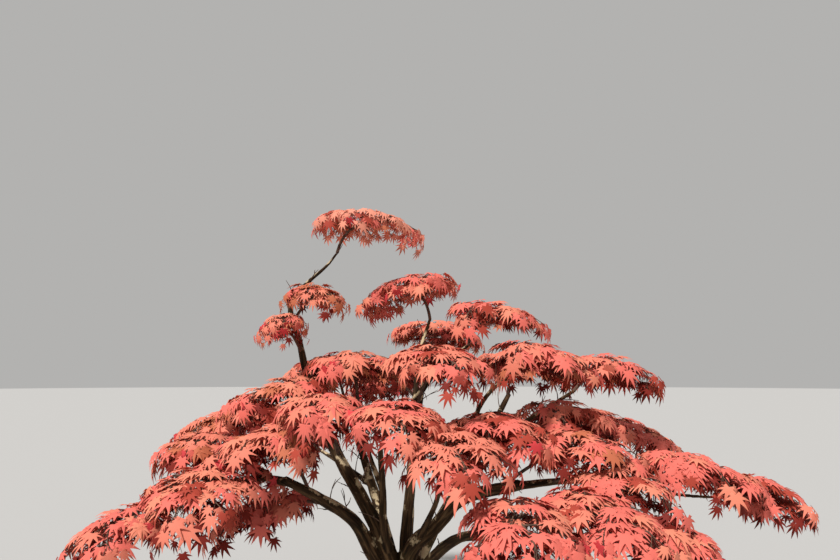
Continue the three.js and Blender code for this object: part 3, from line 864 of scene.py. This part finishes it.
# Shoots in pairs along an axis, long at its foot and short towards its tip
def addShoots(mass, path, firstShare):
    rule, draw = shootRule, mass.detail
    count = max(2, round(lengthOf(path) * (1 - firstShare) / rule["gap"]))
    for index in range(count):
        share = mix(firstShare, 1, (index + 0.5) / count)
        node = alongPath(path, share)
        direction = unit(wayAt(path, share, rule["nearby"]) * flat)
        reach = rule["length"] * mass.halfLength * (1 - rule["taper"] * share)
        within = math.hypot(*mass.shares(node)) < rule["underWithin"]
        for hand in (-1, 1):
            angle = hand * math.radians(mix(*rule["angle"], draw.random()))
            under = draw.random() < mix(*rule["underShares"], mass.loft) and within
            lift = mix(*rule["lift"], draw.random())
            if under:
                lift -= mix(*rule["underDrop"], draw.random()) * mix(1, rule["highDrop"], mass.loft)
            length = reach * mix(*rule["lengthRange"], draw.random())
            addShoot(mass, node, turned(direction, angle), length, lift, under)
    addShoot(mass, path[-1], unit((path[-1] - path[-3]) * flat), rule["shortest"], 0.0, False)


# An axis that leaves its start, meets the leafy surface and follows it out to its end
def addAxis(mass, start, endAlong, endSide, lift):
    rule = padRule
    startAlong, startSide = mass.shares(start)
    points = []
    for share in np.linspace(0, 1, rule["twigPoints"]):
        along, side = mix(startAlong, endAlong, share), mix(startSide, endSide, share)
        level = mass.surface(along, side) + up * (lift * share - rule["twigSink"])
        height = mix(start[2], level[2], eased(min(1, share * rule["twigRise"])))
        points.append((level[0], level[1], height))
    path = np.array(points)
    path[0] = start
    axes.append(path)
    return path


def growMass(mass):
    stems.append(mass.stem)
    reach = sheetRule["rimReach"] * padRule["twigReach"]
    tipPath = addAxis(mass, alongPath(mass.stem, 1), reach, 0, 0)
    leafyStem = mass.stem[int(sheetRule["stemPoints"] * mass.first):]
    addShoots(mass, np.vstack([leafyStem, tipPath[1:]]), shootRule["stemFrom"])
    for start, angle, rim, lift in mass.twigs:
        lobe = mass.edgeTowards(math.cos(angle), math.sin(angle)) / padRule["edge"]
        far = rim * padRule["twigReach"] * lobe
        path = addAxis(mass, start, far * math.cos(angle), far * math.sin(angle), lift)
        addShoots(mass, path, shootRule["twigFrom"])
    along, side = mass.shares(mass.inner)
    for turn in padRule["innerTwigs"]:
        angle = mass.innerTurn + math.radians(turn)
        endAlong = along + padRule["innerReach"] * math.cos(angle)
        endSide = side + padRule["innerReach"] * math.sin(angle)
        path = addAxis(mass, mass.inner, endAlong, endSide, 0)
        addShoots(mass, path, shootRule["innerFrom"])
    for index in range(shootRule["crownShoots"]):
        way = turned(mass.heading, (index + 0.5) * 2 * math.pi / shootRule["crownShoots"])
        addShoot(mass, mass.inner, way, shootRule["shortest"], shootRule["crownLift"], False)


masses = [Mass(row, index) for index, row in enumerate(massRows)]
for mass in masses:
    growMass(mass)
leafCount = sum(len(rows) for rows in leaves.values())
print("grown:", len(axes), "twigs,", len(shoots), "shoots,", leafCount, "leaves")


def meshFromArrays(name, points, faces):
    mesh = bpy.data.meshes.new(name)
    mesh.vertices.add(len(points))
    mesh.vertices.foreach_set("co", np.asarray(points, np.float32).ravel())
    sides = faces.shape[1]
    mesh.loops.add(faces.size)
    mesh.loops.foreach_set("vertex_index", faces.astype(np.int32).ravel())
    mesh.polygons.add(len(faces))
    mesh.polygons.foreach_set("loop_start", np.arange(0, faces.size, sides, dtype=np.int32))
    mesh.update(calc_edges=True)
    mesh.validate()
    return newObject(name, mesh)


def leafMesh(name, rows):
    bases, turns, sizes, kinds = (np.array(column) for column in zip(*rows))
    points, faces, start = [], [], 0
    for kind, (shape, triangles) in enumerate(templates):
        mine = kinds == kind
        reach = np.einsum("vk,nkj->nvj", shape, turns[mine])
        placed = bases[mine][:, None] + sizes[mine][:, None, None] * reach
        offsets = start + np.arange(len(placed)) * len(shape)
        points.append(placed.reshape(-1, 3))
        faces.append((triangles[None] + offsets[:, None, None]).reshape(-1, 3))
        start += len(points[-1])
    return meshFromArrays(name, np.vstack(points), np.vstack(faces))


massNames = [row[0] for row in massRows]
pieceLimit = 195000
leafFaces = len(templates[0][1])
for tint, rows in leaves.items():
    parts = math.ceil(len(rows) * leafFaces / pieceLimit)
    for part in range(parts):
        name = f"leaves_{tint}" if parts == 1 else f"leaves_{tint}_{part + 1}"
        piece = leafMesh(name, rows[part::parts])
        piece.data.materials.append(leafMaterial(tint))
        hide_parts(*massNames)
        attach(piece, "root")
        print(name + ":", len(piece.data.polygons), "triangles")


# Twigs: each kind has a radius at its foot, one at its tip and a number of sides
tubes = {
    "stems": (0.0095, 0.0038, 7), "axes": (0.0042, 0.0018, 5), "shoots": (0.0019, 0.0011, 4),
    "sideTwigs": (0.0034, 0.0012, 5), "stalks": (0.0008, 0.0006, 3),
}
tubeSide = (0.32, 0.11, 0.94)


# Tapering tubes along many lines at once
def tubeArrays(lines, startRadius, endRadius, sides, start):
    lines = np.array(lines)
    count, steps = lines.shape[:2]
    tangents = unit(np.gradient(lines, axis=1))
    side = unit(np.cross(tangents, tubeSide))
    other = np.cross(tangents, side)
    turns = np.arange(sides) * 2 * math.pi / sides
    ring = (side[:, :, None] * np.cos(turns)[None, None, :, None]
            + other[:, :, None] * np.sin(turns)[None, None, :, None])
    radius = np.linspace(startRadius, endRadius, steps)[None, :, None, None]
    points = (lines[:, :, None] + ring * radius).reshape(-1, 3)
    index = start + np.arange(count * steps * sides).reshape(count, steps, sides)
    here, ahead = index[:, :-1], index[:, 1:]
    corners = [here, np.roll(here, -1, 2), np.roll(ahead, -1, 2), ahead]
    quads = np.stack(corners, -1).reshape(-1, 4)
    return points, quads


def twigPiece(name, groups):
    points, faces, start = [], [], 0
    for lines, size in groups:
        some, quads = tubeArrays(lines, *size, start)
        points.append(some)
        faces.append(quads)
        start += len(some)
    piece = meshFromArrays(name, np.vstack(points), np.vstack(faces))
    piece.data.polygons.foreach_set("use_smooth", np.ones(len(piece.data.polygons), bool))
    piece.data.materials.append(twigSkin)
    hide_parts(*massNames)
    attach(piece, "root")
    print(name + ":", len(piece.data.polygons), "faces")


# Short bare twigs along the limbs, some of them forked
sideTwigRule = {
    "gap": 0.15, "from": 0.22, "to": 0.98, "nearby": 0.03, "length": (0.05, 0.13), "ahead": 0.7,
    "rise": 0.55, "bend": 0.3, "points": 4, "forkShare": 0.5, "forkPlace": 0.6, "forkTurn": 0.9,
    "forkLength": 0.45, "seed": 500,
}


def sideTwigs():
    rule, made = sideTwigRule, []
    for index, row in enumerate(limbRows):
        draw = np.random.default_rng(index + rule["seed"])
        path = paths[row[0]]
        for _ in range(round(lengthOf(path) * (1 - rule["from"]) / rule["gap"])):
            share = mix(rule["from"], rule["to"], draw.random())
            ahead = unit(wayAt(path, share, rule["nearby"]))
            around = unit(np.cross(ahead, draw.normal(size=3)))
            way = unit(ahead * rule["ahead"] + around + up * rule["rise"])
            length = mix(*rule["length"], draw.random()) + mix(*radii[row[0]], share)
            twig = bentTwig(alongPath(path, share), way, length, draw)
            made.append(twig)
            if draw.random() < rule["forkShare"]:
                fork = unit(way + np.cross(way, up) * rule["forkTurn"] * draw.choice((-1, 1)))
                start = alongPath(twig, rule["forkPlace"])
                made.append(bentTwig(start, fork, length * rule["forkLength"], draw))
    return made


def bentTwig(start, way, length, draw):
    steps = np.linspace(0, 1, sideTwigRule["points"])[:, None]
    sway = np.cross(way, unit(draw.normal(size=3))) * sideTwigRule["bend"]
    return start + (way * steps + sway * steps ** 2) * length


twigSkin = twigMaterial()
twigPiece("twigs", [
    (stems, tubes["stems"]), (axes, tubes["axes"]), (shoots, tubes["shoots"]),
    (sideTwigs(), tubes["sideTwigs"]),
])
twigPiece("leaf_stalks", [(stalks, tubes["stalks"])])


# A pale floor, pale sky light and one broad soft sun from the front left
studio = {
    "floor": (0.45, 0.44, 0.425), "floorSize": 90, "floorSides": 96, "floorRoughness": 0.9,
    "floorSpecular": 0.1, "sky": (0.90, 0.89, 0.87), "skyStrength": 0.5, "sunStrength": 4.1,
    "sunAngle": 7, "sunTurn": (40, 0, -32),
}


def addStudio():
    shape = bmesh.new()
    bmesh.ops.create_circle(shape, cap_ends=True, segments=studio["floorSides"],
                            radius=studio["floorSize"])
    mesh = bpy.data.meshes.new("floor")
    shape.to_mesh(mesh)
    shape.free()
    material, _, _, shader = newMaterial("floor", studio["floorRoughness"], studio["floorSpecular"])
    shader.inputs["Base Color"].default_value = (*studio["floor"], 1)
    mesh.materials.append(material)
    floor = newObject("floor", mesh)
    world = bpy.data.worlds.new("studio")
    world.use_nodes = True
    sky = world.node_tree.nodes["Background"]
    sky.inputs["Color"].default_value = (*studio["sky"], 1)
    sky.inputs["Strength"].default_value = studio["skyStrength"]
    bpy.context.scene.world = world
    light = bpy.data.lights.new("sun", "SUN")
    light.energy = studio["sunStrength"]
    light.angle = math.radians(studio["sunAngle"])
    sun = newObject("sun", light)
    sun.rotation_euler = [math.radians(angle) for angle in studio["sunTurn"]]
    bpy.context.scene.view_settings.view_transform = "Standard"


addStudio()
